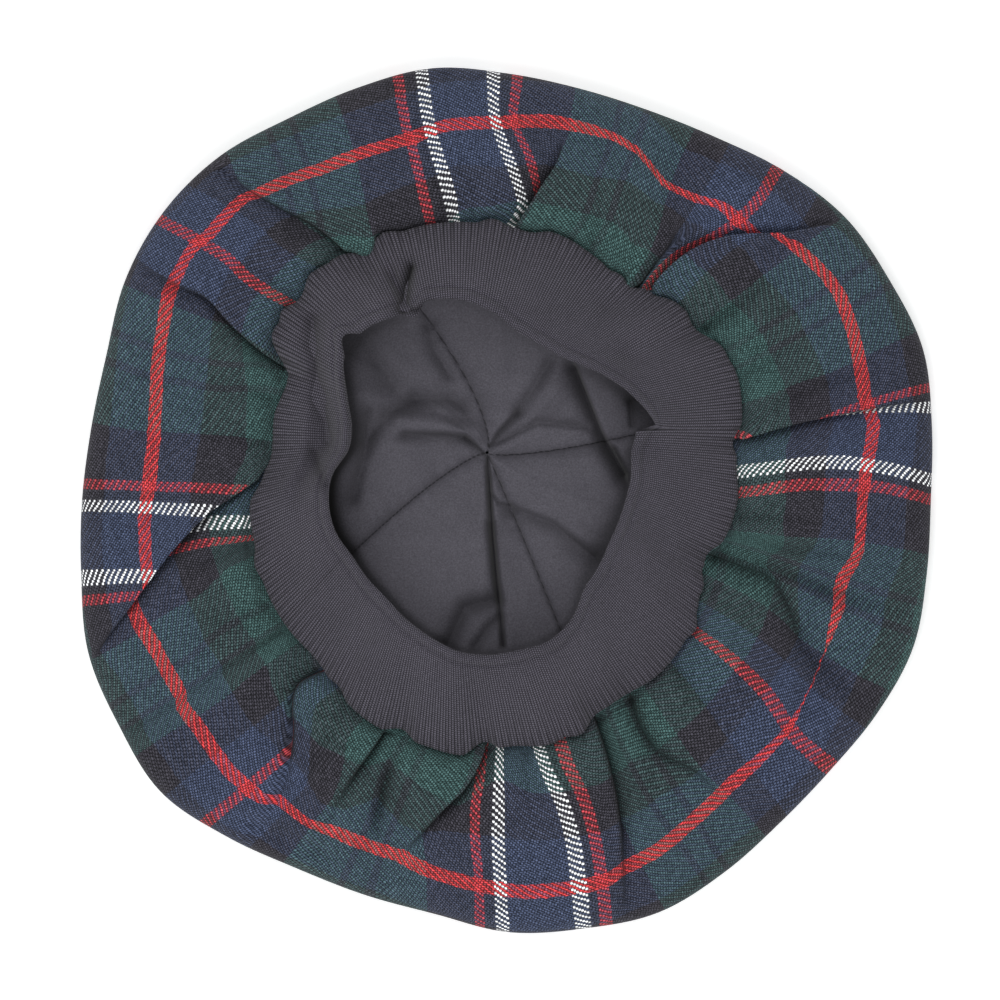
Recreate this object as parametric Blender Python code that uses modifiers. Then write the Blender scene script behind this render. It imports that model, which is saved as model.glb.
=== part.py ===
"""Tam o shanter lying crown down with its opening upward.

The crown rests on Z = 0 and the photo's upward direction is +Y.  Every table
is in millimetres and degrees; azimuths run counter-clockwise from +X.
"""
import bpy
import numpy as np

MM = 0.001

# Mesh density
COLUMNS = 96
GORE_COLUMNS = 9
GORE_ROWS = 10

# Cloth
SHELL_THICKNESS = 1.2
LINING_THICKNESS = 0.9
SEAM_GAP = 0.34
BAND_SEAM_GAP = 0.2

# Plan positions
EDGE_CENTRE = (-6.2, 8.0)
PINCH = (-7.2, 15.7)
PINCH_RADIUS = 1.0
LINING_INSET = 2.0

# Heights of the lining at the pinch and at its outer edge
LINING_LOW = 5.0
LINING_HIGH = 25.2

# A row for each section: azimuth, rim radius, band seam radius about the
# origin, and the band's free edge radius about EDGE_CENTRE
SECTIONS = (
    (0, 141.0, 76.2, 46.6),
    (10, 143.5, 77.0, 48.0),
    (20, 147.2, 82.6, 53.8),
    (30, 146.8, 86.8, 53.2),
    (40, 146.7, 85.4, 50.3),
    (50, 143.3, 85.9, 47.4),
    (60, 139.5, 80.6, 45.6),
    (70, 138.2, 85.6, 46.4),
    (80, 139.3, 90.0, 48.6),
    (90, 142.3, 90.7, 54.4),
    (100, 146.3, 93.8, 58.9),
    (110, 146.5, 95.8, 61.3),
    (120, 147.0, 95.1, 61.0),
    (130, 149.8, 99.7, 63.2),
    (140, 150.0, 98.6, 62.2),
    (150, 147.5, 84.5, 54.3),
    (160, 142.7, 82.8, 48.3),
    (170, 141.3, 80.3, 47.4),
    (180, 142.3, 85.7, 51.9),
    (190, 144.8, 85.7, 53.8),
    (200, 149.2, 85.9, 54.0),
    (210, 150.2, 84.9, 52.5),
    (220, 151.5, 83.0, 52.5),
    (230, 146.5, 85.9, 52.8),
    (240, 141.8, 87.1, 54.6),
    (250, 140.2, 86.2, 56.6),
    (260, 140.3, 86.1, 58.7),
    (270, 144.2, 81.9, 58.9),
    (280, 145.2, 82.3, 58.2),
    (290, 146.5, 77.7, 57.7),
    (300, 143.7, 75.7, 54.2),
    (310, 140.8, 76.5, 48.5),
    (320, 140.3, 75.4, 46.7),
    (330, 142.2, 72.6, 45.2),
    (340, 143.8, 68.5, 45.0),
    (350, 141.8, 73.1, 45.5),
)

# A row for each scallop where gathers push the band seam in or out:
# azimuth, radial push, half width in degrees
SCALLOPS = (
    (14.5, -2.2, 4.0),
    (36.0, 1.1, 4.0),
    (43.0, -1.4, 4.0),
    (57.5, 2.0, 4.0),
    (63.0, 2.0, 4.0),
    (85.0, -1.2, 4.0),
    (93.0, 2.0, 4.0),
    (115.5, 2.8, 4.5),
    (124.0, 1.6, 4.0),
    (136.0, -3.8, 5.0),
    (146.0, 4.8, 4.5),
    (176.5, -1.0, 4.0),
    (194.5, 1.3, 4.0),
    (228.0, -1.5, 4.0),
    (245.0, -2.7, 4.5),
    (264.0, -3.6, 4.5),
    (287.5, 2.6, 4.5),
    (325.5, 1.7, 4.0),
    (336.5, 1.5, 4.0),
    (345.0, -1.6, 4.0),
)

# The tartan's section, a row for each station from the crown round the rim
# to the band seam: inset from the rim, share of the underside, height
SHELL_PROFILE = (
    (46.0, 0.00, 0.0),
    (22.0, 0.00, 0.0),
    (12.5, 0.00, 0.0),
    (6.4, 0.00, 1.3),
    (2.4, 0.00, 3.9),
    (0.3, 0.00, 7.4),
    (0.1, 0.00, 11.4),
    (1.8, 0.00, 15.0),
    (5.6, 0.00, 18.2),
    (11.2, 0.00, 21.2),
    (13.0, 0.12, 24.0),
    (13.0, 0.30, 27.0),
    (13.0, 0.48, 29.6),
    (13.0, 0.66, 31.6),
    (13.0, 0.82, 32.5),
    (13.0, 0.93, 31.4),
    (13.4, 1.00, 28.0),
    (17.4, 1.00, 26.9),
)
# Height of the band seam, where every layer follows the sway in full
SEAM_HEIGHT = 28.0

# A row for each slow wave round the hat: how often it rises and falls, the
# azimuth of its first crest, its height
SWAY = (
    (1, 150.0, 1.5),
    (2, 65.0, 1.3),
    (3, 25.0, 0.9),
    (5, 40.0, 0.5),
)
UNDERSIDE_START = 13.0

# A row for each gather fold in the tartan's underside: azimuth at the rim,
# midway and at the band, depth at those three places, half width in degrees
FOLDS = (
    (205.0, 187.0, 177.5, 0.8, 5.0, 6.5, 5.5),
    (13.0, 14.2, 14.5, 1.4, 3.6, 6.5, 5.0),
    (39.5, 50.5, 57.0, 1.6, 4.2, 6.0, 5.5),
    (80.0, 82.5, 86.0, 0.0, 2.6, 6.5, 5.0),
    (131.5, 127.5, 121.5, 0.8, 3.0, 4.6, 5.0),
    (144.0, 147.5, 149.5, 0.6, 4.4, 6.0, 4.5),
    (230.0, 226.0, 222.0, 0.0, 3.0, 5.0, 4.5),
    (240.0, 241.0, 242.0, 0.0, 2.6, 5.5, 4.5),
    (250.0, 257.0, 264.5, 0.0, 3.4, 6.0, 5.0),
    (286.5, 289.5, 291.5, 0.6, 4.8, 6.5, 4.5),
    (300.0, 301.0, 302.0, 0.0, 2.2, 5.0, 4.5),
    (329.0, 337.0, 345.0, 1.0, 3.6, 6.0, 6.0),
    (40.0, 40.5, 41.0, 0.0, 0.8, 4.0, 4.5),
    (202.0, 204.0, 206.0, 0.0, 0.6, 3.0, 5.0),
    (168.0, 168.0, 167.0, 0.0, 0.6, 3.0, 5.0),
    (313.0, 314.0, 315.0, 0.0, 0.4, 2.6, 5.0),
    (104.0, 103.0, 102.0, 0.0, 0.6, 3.0, 5.0),
)

# Folds deeper than this midway steer the columns of points
MAIN_FOLD_DEPTH = 2.0

# A row for each dent that runs along the rim: azimuth, half length in
# degrees, share of the underside, half width as a share, depth
DENTS = (
    (66.0, 9.0, 0.14, 0.16, 4.6),
    (328.0, 11.0, 0.16, 0.14, 4.2),
    (247.0, 5.0, 0.48, 0.18, 3.0),
    (346.0, 6.0, 0.52, 0.18, 2.4),
    (233.0, 9.0, 0.10, 0.12, 2.6),
    (20.0, 5.0, 0.50, 0.16, 2.2),
)

# The knit band's section, a loop of stations from the seam up to the free
# edge and back below: share of the way to the free edge, height
BAND_PROFILE = (
    (0.00, 31.0),
    (0.05, 32.2),
    (0.28, 36.0),
    (0.52, 40.2),
    (0.76, 44.0),
    (0.93, 46.6),
    (1.00, 45.8),
    (0.95, 44.4),
    (0.76, 41.2),
    (0.50, 37.0),
    (0.25, 32.8),
    (0.05, 29.2),
    (0.00, 28.9),
)

# A row for each dent or roll in the band: azimuth, half length in degrees,
# share of the band's width, half width as a share, height
BAND_SHAPES = (
    (116.6, 5.5, 0.62, 0.45, -4.6),
    (160.0, 22.0, 0.48, 0.28, -3.4),
    (165.0, 26.0, 0.92, 0.22, 1.6),
    (128.0, 8.0, 0.90, 0.30, 1.8),
    (20.0, 9.0, 0.95, 0.40, -2.6),
    (42.0, 12.0, 0.80, 0.40, 1.4),
    (290.0, 14.0, 0.95, 0.40, -1.6),
    (235.0, 22.0, 0.85, 0.40, 1.2),
)

# Azimuths at the band where the four seams of the lining end
LINING_SEAMS = (21.7, 111.4, 207.0, 291.9)
LINING_PUFFS = (5.0, 4.5, 5.0, 4.0)

# A row for each fold of the lining: start x, y, end x, y, height, half width
LINING_FOLDS = (
    (-6.5, 13.0, -1.5, -49.0, -3.6, 3.4),
    (-10.5, 6.0, -7.5, -30.0, 2.6, 5.0),
    (-10.0, -38.0, -10.0, -46.0, -4.4, 6.0),
    (-5.0, 17.0, 15.0, 46.0, -4.0, 5.0),
    (-10.0, 18.5, -34.0, 24.0, 3.8, 4.0),
    (-14.0, 13.5, -36.0, 15.0, -2.6, 4.0),
    (22.0, 44.0, 37.0, 10.0, 3.2, 5.0),
    (34.0, 44.0, 46.0, 20.0, -3.0, 5.0),
    (-45.0, -4.0, -52.0, -22.0, -2.6, 7.0),
)

# Names, base colours, roughness
MATERIALS = {
    "tartan": ((0.035, 0.060, 0.075, 1.0), 0.92),
    "knit": ((0.062, 0.058, 0.074, 1.0), 0.95),
    "lining": ((0.070, 0.067, 0.084, 1.0), 0.85),
}


def periodic(values, azimuth):
    """Smooth closed curve through evenly spaced values."""
    table = np.asarray(values, float)
    place = np.asarray(azimuth, float) / 360.0 * len(table)
    index = np.floor(place).astype(int)
    part = place - index
    a, b, c, d = (table[(index + k) % len(table)] for k in (-1, 0, 1, 2))
    line = 2 * b + (c - a) * part
    bend = (2 * a - 5 * b + 4 * c - d) * part ** 2
    twist = (3 * b - a - 3 * c + d) * part ** 3
    return 0.5 * (line + bend + twist)


def sway(azimuth):
    """Slow rise and fall of the underside round the hat."""
    level = np.zeros(np.shape(azimuth))
    for count, crest, amount in SWAY:
        level += amount * np.cos(np.radians(count * (azimuth - crest)))
    return level


def turn(azimuth, centre):
    """Signed difference of two azimuths in degrees."""
    return (np.asarray(azimuth) - centre + 180.0) % 360.0 - 180.0


def hump(distance):
    """Soft bump, one at zero and nothing beyond one."""
    near = np.clip(1.0 - np.asarray(distance) ** 2, 0.0, 1.0)
    return near * near


def rim_radius(azimuth):
    return periodic([row[1] for row in SECTIONS], azimuth)


def seam_radius(azimuth):
    radius = periodic([row[2] for row in SECTIONS], azimuth)
    for centre, push, width in SCALLOPS:
        radius = radius + push * hump(turn(azimuth, centre) / width)
    return radius


def around(azimuth, radius, centre=(0.0, 0.0)):
    """Plan positions at a radius about a centre."""
    angle = np.radians(azimuth)
    x = centre[0] + radius * np.cos(angle)
    y = centre[1] + radius * np.sin(angle)
    return np.stack([x, y], axis=-1)


def three_way(rim, middle, band, share):
    """Quadratic through values at shares 0, 0.5 and 1."""
    first = 2 * (share - 0.5) * (share - 1.0) * rim
    second = -4 * share * (share - 1.0) * middle
    third = 2 * share * (share - 0.5) * band
    return first + second + third


def fold_depth(azimuth, share):
    """How far the gathers press the underside down."""
    depth = np.zeros(np.broadcast(azimuth, share).shape)
    for rim, middle, band, low, half, high, width in FOLDS:
        centre = three_way(rim, middle, band, share)
        amount = np.maximum(three_way(low, half, high, share), 0.0)
        depth += amount * hump(turn(azimuth, centre) / width)
    for centre, length, place, width, amount in DENTS:
        along = hump(turn(azimuth, centre) / length)
        depth += amount * along * hump((share - place) / width)
    return depth


def column_azimuth(share):
    """Azimuths of the columns of points, which follow the deep folds."""
    main = [row for row in FOLDS if row[4] > MAIN_FOLD_DEPTH]
    middle = [row[1] for row in main]
    start = np.arange(COLUMNS) * 360.0 / COLUMNS
    at_rim = np.interp(start, middle, [row[0] - row[1] for row in main], period=360)
    at_band = np.interp(start, middle, [row[2] - row[1] for row in main], period=360)
    return start + three_way(at_rim, 0.0, at_band, share)


def shell_grid():
    """Outer surface of the tartan, a loop of points for each station."""
    loops = []
    for inset, share, height in SHELL_PROFILE:
        azimuth = column_azimuth(share)
        rim = rim_radius(azimuth)
        run = rim - UNDERSIDE_START - seam_radius(azimuth)
        radius = rim - inset - share * run
        fade = min(1.0, share / 0.1) * min(1.0, (1.0 - share) / 0.12)
        level = height - fade * fold_depth(azimuth, share)
        level += sway(azimuth) * min(1.0, height / SEAM_HEIGHT)
        plan = around(azimuth, radius)
        loops.append(np.column_stack([plan, level]))
    return np.array(loops)


def band_grid():
    """Closed loops of points round the knit band."""
    azimuth = column_azimuth(1.0)
    outer = around(azimuth, seam_radius(azimuth) - BAND_SEAM_GAP)
    edge = periodic([row[3] for row in SECTIONS], azimuth)
    inner = around(azimuth, edge, EDGE_CENTRE)
    loops = []
    for share, height in BAND_PROFILE:
        plan = outer + share * (inner - outer)
        level = height + sway(azimuth)
        for centre, length, place, width, rise in BAND_SHAPES:
            along = hump(turn(azimuth, centre) / length)
            level += rise * along * hump((share - place) / width)
        loops.append(np.column_stack([plan, level]))
    return np.array(loops)


def segment_distance(x, y, row):
    """Distance from plan points to a fold line, with soft ends."""
    x0, y0, x1, y1 = row
    dx = x1 - x0
    dy = y1 - y0
    length = np.hypot(dx, dy)
    along = ((x - x0) * dx + (y - y0) * dy) / length
    across = ((x - x0) * dy - (y - y0) * dx) / length
    beyond = np.maximum(0.0, np.maximum(-along, along - length))
    return np.hypot(across, beyond)


def lining_height(x, y, reach, across, edge, puff):
    """Height of the lining's top surface below its outer edge's height."""
    rise = reach ** 1.5
    level = LINING_LOW + (edge - LINING_LOW) * rise
    inside = 4.0 * reach * (1.0 - reach)
    level = level + puff * np.sin(np.pi * across) * inside
    for row in LINING_FOLDS:
        near = segment_distance(x, y, row[:4]) / row[5]
        fade = np.clip(reach / 0.12, 0, 1) * np.clip((1 - reach) / 0.2, 0, 1)
        level = level + row[4] * fade * hump(near * 0.7)
    return np.maximum(level, SHELL_THICKNESS + LINING_THICKNESS + 0.6)


def gore_grid(index):
    """Top surface of one quarter of the lining, trimmed at both seams."""
    start = LINING_SEAMS[index]
    stop = LINING_SEAMS[(index + 1) % len(LINING_SEAMS)]
    sweep = (stop - start) % 360.0
    across = np.linspace(0.0, 1.0, GORE_COLUMNS)
    azimuth = start + sweep * across
    edge = around(azimuth, seam_radius(azimuth) - LINING_INSET)
    centre = np.array(PINCH)
    length = np.linalg.norm(edge - centre, axis=1)
    ray = (edge - centre) / length[:, None]
    side = np.array([ray[0][::-1] * (-1, 1), ray[-1][::-1] * (1, -1)])
    trim = (SEAM_GAP / 2) * (side[0] * (1 - across[:, None]) ** 8
                             + side[1] * across[:, None] ** 8)
    rows = []
    for reach in np.linspace(0.0, 1.0, GORE_ROWS):
        run = PINCH_RADIUS + reach * (length - PINCH_RADIUS)
        plan = centre + run[:, None] * ray + trim
        level = lining_height(plan[:, 0], plan[:, 1], run / length, across,
                              LINING_HIGH + sway(azimuth),
                              LINING_PUFFS[index])
        rows.append(np.column_stack([plan, level]))
    return np.array(rows)


def loft(grid, closed_rows, closed_columns):
    """Faces between neighbouring loops of a grid of points."""
    rows, columns = grid.shape[:2]
    faces = []
    for i in range(rows if closed_rows else rows - 1):
        for j in range(columns if closed_columns else columns - 1):
            right = (j + 1) % columns
            up = (i + 1) % rows
            faces.append((i * columns + j, i * columns + right,
                          up * columns + right, up * columns + j))
    return faces


def add_object(name, points, faces, slot, collection):
    """Make one mesh object with its own material."""
    mesh = bpy.data.meshes.new(name)
    scaled = (np.asarray(points).reshape(-1, 3) * MM).tolist()
    mesh.from_pydata(scaled, [], faces)
    mesh.update()
    colour, roughness = MATERIALS[slot]
    material = bpy.data.materials.new(slot + "_" + name)
    material.use_nodes = True
    shader = material.node_tree.nodes["Principled BSDF"]
    shader.inputs["Base Color"].default_value = colour
    shader.inputs["Roughness"].default_value = roughness
    mesh.materials.append(material)
    obj = bpy.data.objects.new(name, mesh)
    collection.objects.link(obj)
    return obj


def thicken(obj, thickness):
    """Give an open surface its cloth thickness, away from its normals."""
    modifier = obj.modifiers.new("thickness", "SOLIDIFY")
    modifier.thickness = thickness * MM
    modifier.offset = -1.0
    modifier.use_rim = True


def build_shell(collection):
    grid = shell_grid()
    faces = loft(grid, False, True)
    faces.append(tuple(range(COLUMNS))[::-1])
    obj = add_object("tartan_crown", grid, faces, "tartan", collection)
    thicken(obj, SHELL_THICKNESS)


def build_band(collection):
    grid = band_grid()
    faces = loft(grid, True, True)
    add_object("knit_band", grid, faces, "knit", collection)


def build_lining(collection):
    for index in range(len(LINING_SEAMS)):
        grid = gore_grid(index)
        faces = [face[::-1] for face in loft(grid, False, False)]
        name = "lining_gore_" + str(index + 1)
        obj = add_object(name, grid, faces, "lining", collection)
        thicken(obj, LINING_THICKNESS)


def main():
    for obj in list(bpy.data.objects):
        bpy.data.objects.remove(obj, do_unlink=True)
    collection = bpy.data.collections.new("tam_o_shanter")
    bpy.context.scene.collection.children.link(collection)
    build_shell(collection)
    build_band(collection)
    build_lining(collection)


main()
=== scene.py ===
"""Tam o shanter lying crown down: tartan shell, ribbed knit band, lining.

Tables are in millimetres and degrees.  Azimuths run counter-clockwise from
+X, the photo's right, and +Y is the photo's upward direction.
"""

import bpy
import numpy as np
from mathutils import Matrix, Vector


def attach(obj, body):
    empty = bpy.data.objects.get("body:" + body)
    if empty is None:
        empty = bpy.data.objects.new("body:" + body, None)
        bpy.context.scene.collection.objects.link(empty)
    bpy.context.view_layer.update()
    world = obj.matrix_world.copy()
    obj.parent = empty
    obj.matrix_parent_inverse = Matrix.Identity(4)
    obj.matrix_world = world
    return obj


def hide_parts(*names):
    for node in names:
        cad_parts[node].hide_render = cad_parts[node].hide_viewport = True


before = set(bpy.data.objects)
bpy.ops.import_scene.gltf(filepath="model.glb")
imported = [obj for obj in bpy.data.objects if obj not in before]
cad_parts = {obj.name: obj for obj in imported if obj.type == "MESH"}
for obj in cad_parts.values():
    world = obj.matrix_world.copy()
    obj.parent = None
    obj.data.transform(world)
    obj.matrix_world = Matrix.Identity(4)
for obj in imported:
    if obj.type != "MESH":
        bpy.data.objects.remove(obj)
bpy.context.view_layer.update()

MM = 0.001

# ---------------------------------------------------------------- outline
# A row every 10 degrees: rim radius and band seam radius about the origin,
# and the band's free edge radius about EDGE_CENTRE
SECTIONS = (
    (141, 76.2, 46.6), (143.5, 77, 48), (147.2, 82.6, 53.8), (146.8, 86.8, 53.2),
    (146.7, 85.4, 50.3), (143.3, 85.9, 47.4), (139.5, 80.6, 45.6), (138.2, 85.6, 46.4),
    (139.3, 90, 48.6), (142.3, 90.7, 54.4), (146.3, 93.8, 58.9), (146.5, 95.8, 61.3),
    (147, 95.1, 61), (149.8, 99.7, 63.2), (150, 98.6, 62.2), (147.5, 84.5, 54.3),
    (142.7, 82.8, 48.3), (141.3, 80.3, 47.4), (142.3, 85.7, 51.9), (144.8, 85.7, 53.8),
    (149.2, 85.9, 54), (150.2, 84.9, 52.5), (151.5, 83, 52.5), (146.5, 85.9, 52.8),
    (141.8, 87.1, 54.6), (140.2, 86.2, 56.6), (140.3, 86.1, 58.7), (144.2, 81.9, 58.9),
    (145.2, 82.3, 58.2), (146.5, 77.7, 57.7), (143.7, 75.7, 54.2), (140.8, 76.5, 48.5),
    (140.3, 75.4, 46.7), (142.2, 72.6, 45.2), (143.8, 68.5, 45), (141.8, 73.1, 45.5),
)
EDGE_CENTRE = (-6.2, 8)

# Where gathers push the band seam in or out: azimuth, push, half width
SCALLOPS = (
    (14.5, -2.2, 4), (36, 1.1, 4), (43, -1.4, 4), (57.5, 2, 4), (63, 2, 4), (85, -1.2, 4),
    (93, 2, 4), (115.5, 2.8, 4.5), (124, 1.6, 4), (136, -3.8, 5), (146, 4.8, 4.5), (176.5, -1, 4),
    (194.5, 1.3, 4), (228, -1.5, 4), (245, -2.7, 4.5), (264, -3.6, 4.5), (287.5, 2.6, 4.5),
    (325.5, 1.7, 4), (336.5, 1.5, 4), (345, -1.6, 4),
)

# The tartan's section from the crown round the rim to the band seam: inset
# from the rim, share of the underside, height
SHELL_PROFILE = (
    (46, 0, 0), (34, 0, 0), (22, 0, 0), (12.5, 0, 0), (6.4, 0, 1.3), (2.4, 0, 3.9), (0.3, 0, 7.4),
    (0.1, 0, 11.4), (1.8, 0, 15), (5.6, 0, 18.2), (11.2, 0, 21.2), (13, 0.12, 24), (13, 0.3, 27),
    (13, 0.48, 29.6), (13, 0.66, 31.6), (13, 0.82, 32.5), (13, 0.93, 31.4), (13.4, 1, 28),
    (17.4, 1, 26.9),
)
# Inset where the underside starts, and height of the band seam
UNDERSIDE_START = 13
SEAM_HEIGHT = 28
# Typical widths that turn a place in the section into a share of the way
# from the rim to the band
TYPICAL_RUN = 48.5
TYPICAL_WIDTH = 61.5

# Slow waves round the hat: count, azimuth of the first crest, height
SWAY = ((1, 150, 1.5), (2, 65, 1.3), (3, 25, 0.9), (5, 40, 0.5))

# ---------------------------------------------------------------- folds
# Stations of the fold tables, as shares of the way from the rim to the band
STATIONS = (0, 0.3, 0.5, 0.7, 0.85, 1)

# A row for each gather fold: six azimuths, six depths, how far one side laps
# over the other (plus where the smaller azimuth lies on top), half width
FOLDS = (
    (13.4, 14.1, 14.5, 15, 15.1, 15.1, 0.8, 2.4, 3.2, 4, 4.6, 5, -1.6, 3),
    (20, 20, 20, 20, 20, 20, 0, 0.3, 1.4, 1.6, 0.6, 0.4, 0, 4),
    (28, 28, 28, 28, 28, 28, 0, 0, 0.2, 0.6, 1, 1.4, 0, 3),
    (39, 39.4, 39.9, 40.3, 40.6, 41, 0, 0, 0.4, 1.6, 3, 4, 0, 3.4),
    (39.5, 44.3, 50, 53.8, 55.2, 55.7, 1.2, 2.8, 3.6, 4.2, 4.2, 4.4, 1.6, 4),
    (60, 59, 58, 57.6, 58, 58.6, 0, 0, 0, 1.2, 3, 4.4, 0.8, 2),
    (72, 72, 72, 72, 72, 72, 0, 0, 0, 0.3, 1, 1.6, 0, 3),
    (81, 81.3, 81.9, 84, 86, 88.4, 0, 0.3, 3, 4.8, 5.4, 5.4, 1.5, 3.6),
    (97, 97, 97, 97, 97, 97, 0, 0, 0, 0.3, 0.8, 1.4, 0, 3),
    (104, 103.5, 103, 102.7, 102.3, 102, 0, 0, 0.2, 0.8, 1.6, 2.4, 0, 3),
    (131, 129.6, 127.9, 125.6, 124.3, 123.3, 1.2, 1.8, 2.4, 3.2, 3.6, 4, 0.8, 4.2),
    (137, 137, 137, 137, 137, 137, 0, 0, 0, 0.4, 1.2, 2, 0, 3),
    (147.5, 147, 146.3, 147.9, 149, 149.3, 0.4, 2.6, 4.2, 4.6, 5, 5.4, 1, 3.2),
    (157, 157, 157, 157, 157, 157, 0, 0, 0.2, 0.6, 1.2, 1.8, 0, 3),
    (168, 168, 168, 167.7, 167.3, 167, 0, 0, 0.2, 0.7, 1.4, 2.2, 0, 3),
    (201.5, 195, 188.7, 183, 178.5, 172.8, 0.6, 3, 4.6, 5.2, 5.4, 5.2, 2.4, 3.6),
    (203, 199, 195, 192, 190.5, 190, 0, 0, 0.2, 0.8, 1.6, 2.4, 0, 2.8),
    (205, 204.5, 204, 204, 204, 204, 0, 0, 0.2, 0.6, 1.2, 2, 0, 3),
    (211.6, 211.4, 211, 210.6, 210.3, 210, 1.2, 0.8, 0.8, 1.4, 1.8, 2.2, 0, 1.5),
    (233, 232.5, 231, 226.5, 221.4, 222.6, 0, 0.2, 1.4, 3.4, 3.8, 4, -0.4, 5.4),
    (234.5, 234.5, 234, 233, 232.5, 232, 0, 0.2, 0.8, 1, 1, 1.2, 0, 2.6),
    (240.5, 240.5, 240.5, 240.7, 241.3, 241.8, 0, 0.2, 1.6, 4.2, 5, 5, 0.8, 2.6),
    (248.5, 248, 247.4, 246.3, 246, 246.3, 0, 0.8, 3.8, 4.2, 1.6, 1.2, 0, 3.6),
    (252, 253.5, 256, 259.3, 262.9, 264.9, 0, 0.3, 2.4, 4.8, 5.4, 5.6, 1.2, 3.4),
    (274, 274, 274, 274, 274, 274, 0, 0, 0, 0.4, 1, 1.6, 0, 3),
    (285.5, 287.4, 289.1, 290.5, 291.2, 291.6, 0.4, 2.6, 5, 6, 6.4, 6.6, 0.6, 4.4),
    (306, 305.6, 304.6, 300.8, 300.5, 302.1, 0, 0.2, 1.4, 3.8, 5.4, 6.4, 0, 3.4),
    (313, 313.3, 314, 314.4, 314.7, 315, 0, 0, 0.2, 0.6, 1.2, 2, 0, 3.2),
    (330, 331.2, 334, 343.2, 344.2, 344.9, 0.4, 1.6, 3.4, 3.6, 4.4, 5.2, 0, 5.6),
    (344.3, 344, 344.3, 345.2, 346.5, 348, 0.2, 1.8, 3.4, 2.4, 1, 0.4, 0, 4.6),
    (350.5, 350.5, 350.3, 350, 350.5, 351, 0, 0, 1.2, 1.6, 0.6, 0.4, 0, 3),
    (356, 356, 356, 356, 356, 356, 0, 0, 0.2, 0.8, 1.4, 2, 0, 3),
)
# The fold at the seam that joins the cloth to itself
JOINING_SEAM = 18
# Columns of that table
FIRST_DEPTH = len(STATIONS)
LAP = 2 * len(STATIONS)
WIDTH = LAP + 1

# Dents along the rim: azimuth, half length, place on the way from the rim to
# the band, half width as a share, depth
DENTS = (
    (61, 10, 0.4, 0.22, 2.6), (64, 8, 0.22, 0.14, 3.4), (76, 9, 0.16, 0.16, -1.2),
    (329, 9, 0.34, 0.12, 3.6), (327, 12, 0.48, 0.16, -1.4), (237, 10, 0.13, 0.09, 2.6),
    (232.6, 2.6, 0.34, 0.12, 1.8), (20, 6, 0.66, 0.16, 1.6), (128.5, 3.2, 0.7, 0.14, 2.6),
    (101, 14, 0.05, 0.1, 1.4), (340, 8, 0.62, 0.15, 2.8), (119.7, 4.4, 0.9, 0.07, 2.4),
    (160, 14, 0.2, 0.2, -0.8), (296, 8, 0.14, 0.14, 1.2), (210, 10, 0.14, 0.14, 1),
)

# Puffs of cloth that swell over the band's edge: azimuth, half width, how
# far over, rise
TUFTS = (
    (119.4, 2.7, 2.6, 3.2), (60.3, 1.8, 2.4, 2.4),
)
# How round they are, and in shares of the underside where they start, over
# how much they swell, where they turn under, over how much, by which share
TUFT_ROUND = 0.55
TUFT_SWELL = (0.78, 0.18)
TUFT_TURN = (0.985, 0.015, 0.85)

# ---------------------------------------------------------------- tartan
# Half of the repeat from the middle of the white pair to the single red
# line: distance where each colour ends, colour
HALF_SETT = 110
SETT = (
    (10, "navy"), (14.5, "white"), (17.5, "black"), (21, "red"), (38.5, "black"), (54.6, "green"),
    (57.4, "dim"), (63.6, "green"), (66.4, "dim"), (82, "green"), (93.5, "black"), (107.8, "navy"),
    (110, "red"),
)
# Repeats round the hat, and millimetres from thread to thread
REPEATS = 4
WARP_PITCH = 0.82
WEFT_PITCH = 0.56
# Linear colours
THREADS = {
    "navy": (0.067, 0.086, 0.15), "white": (0.86, 0.88, 0.9),
    "black": (0.049, 0.047, 0.06), "red": (0.54, 0.058, 0.072),
    "green": (0.062, 0.124, 0.121), "dim": (0.053, 0.076, 0.084),
}
RING_RED = (0.79, 0.068, 0.076)

# The red line that runs round: azimuth, radius, half width that shows
RING = (
    (0, 117.6, 1.8), (5, 119.3, 2.4), (12, 124.1, 2.3), (16, 123.1, 2.5), (31.5, 129.5, 2.3),
    (35, 129.3, 2.2), (43, 126.8, 2.1), (44, 125.4, 1.4), (45, 125.3, 1.1), (45.5, 120.9, 1.1),
    (48.5, 119.9, 2.4), (54, 120.8, 1.7), (58, 118, 1.4), (62, 117.1, 1.1), (64, 117.2, 1.1),
    (69.5, 123.7, 1.1), (74, 125.9, 1.4), (83.5, 126.8, 2.5), (91.5, 125.5, 2.4),
    (99.5, 126.2, 2.2), (105, 124.5, 2.3), (110, 124.6, 2.1), (119.5, 126.3, 2.3),
    (129, 131.4, 2.3), (131, 133.6, 1.9), (138.5, 133, 2.1), (140.5, 134.3, 2.1),
    (142.5, 134.3, 1.8), (148.5, 132.2, 2.5), (153, 128.6, 2.4), (164, 121.8, 2.3),
    (170.5, 119.4, 2.4), (178, 119.4, 2.5), (183, 121, 2.4), (192.5, 122.4, 2.3), (193.4, 123, 2.4),
    (194.2, 130.1, 2.2), (198, 129.4, 2.5), (203, 127.2, 2.5), (209.5, 126.6, 2.5),
    (211, 126.8, 2.4), (212, 128.3, 2.4), (217, 127.8, 2.5), (224, 129.3, 2.5), (228.5, 129.2, 2.4),
    (230.5, 128.5, 1.9), (232.5, 125.4, 1.9), (238, 126.3, 1.4), (242, 124.5, 2.2),
    (253.5, 123.5, 2.4), (258, 125.9, 2.4), (272.5, 130.5, 2.5), (283, 130.8, 2.5),
    (285.5, 130.5, 2.5), (288, 128.1, 2.5), (293, 126.7, 2.5), (301, 122.4, 2.4),
    (308.5, 119.8, 2.4), (321, 120.2, 1.2), (325, 119, 0.4), (334, 116.6, 0.3), (338, 115.6, 1.2),
    (342, 115.6, 2.2), (344.5, 114.1, 2.2), (347, 114.3, 2.4), (351.5, 117.6, 1.8),
    (359.5, 117.4, 1.7),
)
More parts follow.
